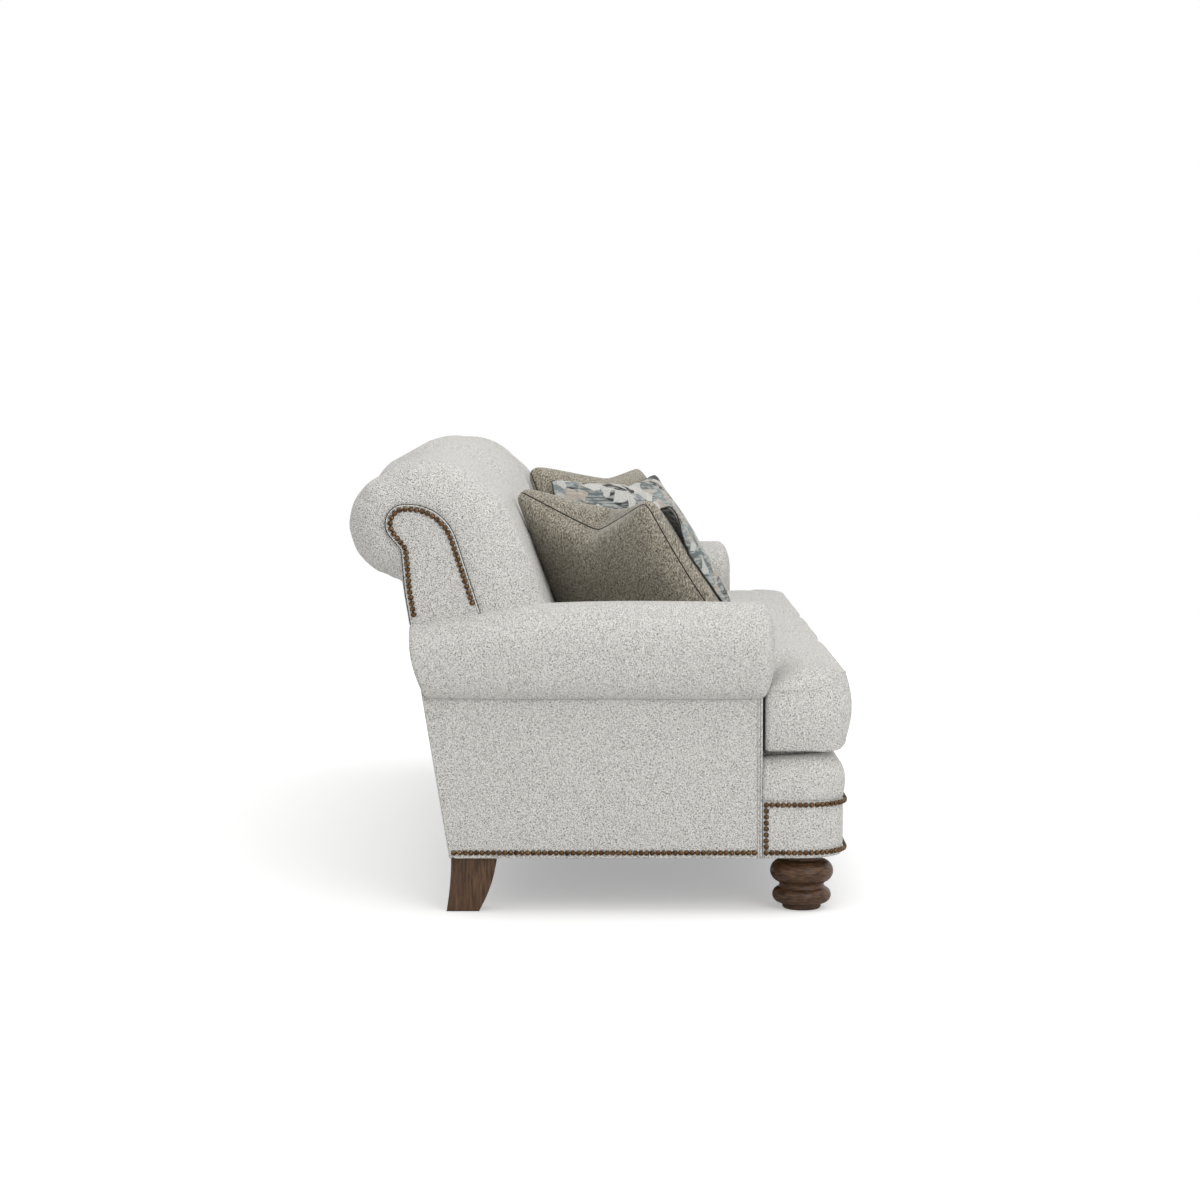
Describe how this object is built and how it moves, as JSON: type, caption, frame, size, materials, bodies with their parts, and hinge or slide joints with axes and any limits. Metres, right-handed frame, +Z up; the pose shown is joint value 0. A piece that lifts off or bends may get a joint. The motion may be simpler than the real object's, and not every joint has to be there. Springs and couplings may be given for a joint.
{
  "type": "three seat sofa",
  "caption": "Sofa with a channelled scroll back, rolled arms, loose T seat cushions, lift-off throw pillows, nail trimmed base, turned front feet and raked rear legs.",
  "frame": {"origin": "on the floor under the middle of the sofa's bounding box", "axes": "+X to the sitter's left along the width, +Y to the rear, +Z up; the front of the seat faces -Y"},
  "size_m": [2.236, 1.0498, 0.9493],
  "materials": {
    "cloth": "pale warm grey woven upholstery with fine dark flecks",
    "plain_pillow": "taupe chenille with a self seam",
    "patterned_pillow": "printed cloth in white, grey green, beige and slate patches",
    "turned_wood": "satin dark walnut brown stain",
    "frame_wood": "bare hardwood",
    "nails": "antique bronze",
    "steel": "plain spring steel",
    "foam": "cushion foam",
    "webbing": "woven jute webbing",
    "dust_cloth": "thin black cloth"
  },
  "bodies": {
    "sofa": {"front_rail": "frame_wood", "back_rail": "frame_wood", "side_rail_left": "frame_wood", "side_rail_right": "frame_wood", "seat_stretchers": "frame_wood", "front_corner_blocks": "frame_wood", "rear_corner_blocks": "frame_wood", "seat_rear_rail": "frame_wood", "back_tack_rail": "frame_wood", "arm_post_left": "frame_wood", "arm_post_right": "frame_wood", "arm_board_left": "frame_wood", "arm_board_right": "frame_wood", "back_post_left": "frame_wood", "back_post_right": "frame_wood", "back_uprights": "frame_wood", "back_top_rail": "frame_wood", "seat_springs": "steel", "spring_clips": "steel", "back_webbing": "webbing", "deck_pad": "cloth", "dust_cover": "dust_cloth", "front_band": "cloth", "front_edge_pad": "cloth", "arm_roll_left": "cloth", "arm_roll_right": "cloth", "inside_arm_left": "cloth", "inside_arm_right": "cloth", "outside_arm_left": "cloth", "outside_arm_right": "cloth", "arm_facing_left": "cloth", "arm_facing_right": "cloth", "back_pad_left": "cloth", "back_pad_middle": "cloth", "back_pad_right": "cloth", "back_end_left": "cloth", "back_end_right": "cloth", "outside_back": "cloth", "front_foot_left": "turned_wood", "front_foot_right": "turned_wood", "rear_leg_left": "turned_wood", "rear_leg_right": "turned_wood", "foot_bolts": "steel", "nails_side_left": "nails", "nails_side_right": "nails", "nails_band_top": "nails", "nails_band_bottom": "nails", "nails_back_left": "nails", "nails_back_right": "nails"},
    "seat_left": {"cushion_left": "cloth", "core_left": "foam"},
    "seat_middle": {"cushion_middle": "cloth", "core_middle": "foam"},
    "seat_right": {"cushion_right": "cloth", "core_right": "foam"},
    "plain_left": {"pillow_plain_left": "plain_pillow"},
    "patterned_left": {"pillow_patterned_left": "patterned_pillow"},
    "plain_right": {"pillow_plain_right": "plain_pillow"},
    "patterned_right": {"pillow_patterned_right": "patterned_pillow"}
  },
  "joints": [
    {"name": "seat_left_lift", "type": "slide", "parent": "sofa", "child": "seat_left", "axis": [0, -0.866, 0.5], "range_m": [0, 0.5]},
    {"name": "seat_middle_lift", "type": "slide", "parent": "sofa", "child": "seat_middle", "axis": [0, -0.866, 0.5], "range_m": [0, 0.5]},
    {"name": "seat_right_lift", "type": "slide", "parent": "sofa", "child": "seat_right", "axis": [0, -0.866, 0.5], "range_m": [0, 0.5]},
    {"name": "plain_left_lift", "type": "slide", "parent": "seat_left", "child": "plain_left", "axis": [0, 0, 1], "range_m": [0, 0.4]},
    {"name": "patterned_left_lift", "type": "slide", "parent": "plain_left", "child": "patterned_left", "axis": [0, 0, 1], "range_m": [0, 0.4]},
    {"name": "plain_right_lift", "type": "slide", "parent": "seat_right", "child": "plain_right", "axis": [0, 0, 1], "range_m": [0, 0.4]},
    {"name": "patterned_right_lift", "type": "slide", "parent": "plain_right", "child": "patterned_right", "axis": [0, 0, 1], "range_m": [0, 0.4]}
  ]
}
